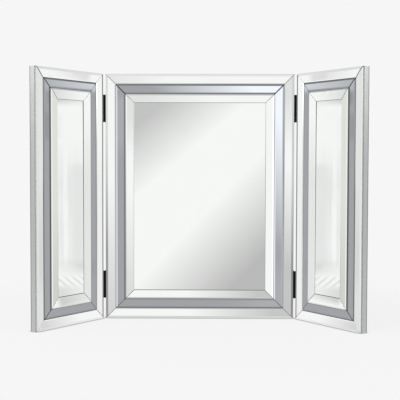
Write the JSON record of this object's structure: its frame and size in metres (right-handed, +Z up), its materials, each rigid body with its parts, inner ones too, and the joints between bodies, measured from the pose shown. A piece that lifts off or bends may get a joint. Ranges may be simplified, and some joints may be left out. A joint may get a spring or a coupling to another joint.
{
  "type": "folding vanity mirror",
  "caption": "Free-standing folding vanity mirror: a centre panel with hinged wings, each framed by mitred clear and smoked mirror strips round a plate mirror.",
  "frame": {"origin": "lower face of the centre board, in the middle of its width and of its thickness", "axes": "+Z up, +X to the right seen from the front, the mirrors face -Y"},
  "size_m": [0.6854, 0.1924, 0.54],
  "materials": {
    "silver_board": "satin paint",
    "back_sheet": "felt",
    "clear_mirror": "polished",
    "smoked_mirror": "polished",
    "hinge_steel": "satin",
    "hinge_screw": "satin"
  },
  "bodies": {
    "center_panel": {"center_back_cover": "back_sheet", "center_board": "silver_board", "center_grey_strip_bottom": "smoked_mirror", "center_grey_strip_left": "smoked_mirror", "center_grey_strip_right": "smoked_mirror", "center_grey_strip_top": "smoked_mirror", "center_hinge_screws": "hinge_screw", "center_inner_strip_bottom": "clear_mirror", "center_inner_strip_left": "clear_mirror", "center_inner_strip_right": "clear_mirror", "center_inner_strip_top": "clear_mirror", "center_mirror": "clear_mirror", "center_outer_strip_bottom": "clear_mirror", "center_outer_strip_left": "clear_mirror", "center_outer_strip_right": "clear_mirror", "center_outer_strip_top": "clear_mirror", "left_lower_hinge_center_leaf": "hinge_steel", "left_lower_hinge_pin": "hinge_steel", "left_upper_hinge_center_leaf": "hinge_steel", "left_upper_hinge_pin": "hinge_steel", "right_lower_hinge_center_leaf": "hinge_steel", "right_lower_hinge_pin": "hinge_steel", "right_upper_hinge_center_leaf": "hinge_steel", "right_upper_hinge_pin": "hinge_steel"},
    "left_wing": {"left_lower_hinge_wing_leaf": "hinge_steel", "left_upper_hinge_wing_leaf": "hinge_steel", "left_wing_back_cover": "back_sheet", "left_wing_board": "silver_board", "left_wing_grey_strip_bottom": "smoked_mirror", "left_wing_grey_strip_left": "smoked_mirror", "left_wing_grey_strip_right": "smoked_mirror", "left_wing_grey_strip_top": "smoked_mirror", "left_wing_hinge_screws": "hinge_screw", "left_wing_inner_strip_bottom": "clear_mirror", "left_wing_inner_strip_left": "clear_mirror", "left_wing_inner_strip_right": "clear_mirror", "left_wing_inner_strip_top": "clear_mirror", "left_wing_mirror": "clear_mirror", "left_wing_outer_strip_bottom": "clear_mirror", "left_wing_outer_strip_left": "clear_mirror", "left_wing_outer_strip_right": "clear_mirror", "left_wing_outer_strip_top": "clear_mirror"},
    "right_wing": {"right_lower_hinge_wing_leaf": "hinge_steel", "right_upper_hinge_wing_leaf": "hinge_steel", "right_wing_back_cover": "back_sheet", "right_wing_board": "silver_board", "right_wing_grey_strip_bottom": "smoked_mirror", "right_wing_grey_strip_left": "smoked_mirror", "right_wing_grey_strip_right": "smoked_mirror", "right_wing_grey_strip_top": "smoked_mirror", "right_wing_hinge_screws": "hinge_screw", "right_wing_inner_strip_bottom": "clear_mirror", "right_wing_inner_strip_left": "clear_mirror", "right_wing_inner_strip_right": "clear_mirror", "right_wing_inner_strip_top": "clear_mirror", "right_wing_mirror": "clear_mirror", "right_wing_outer_strip_bottom": "clear_mirror", "right_wing_outer_strip_left": "clear_mirror", "right_wing_outer_strip_right": "clear_mirror", "right_wing_outer_strip_top": "clear_mirror"}
  },
  "joints": [
    {"name": "left_wing_hinge", "type": "hinge", "parent": "center_panel", "child": "left_wing", "pos_m": [-0.2094, -0.0139, 0.27], "axis": [0, 0, 1], "range_deg": [-56, 124]},
    {"name": "right_wing_hinge", "type": "hinge", "parent": "center_panel", "child": "right_wing", "pos_m": [0.2094, -0.0139, 0.27], "axis": [0, 0, -1], "range_deg": [-56, 124]}
  ]
}
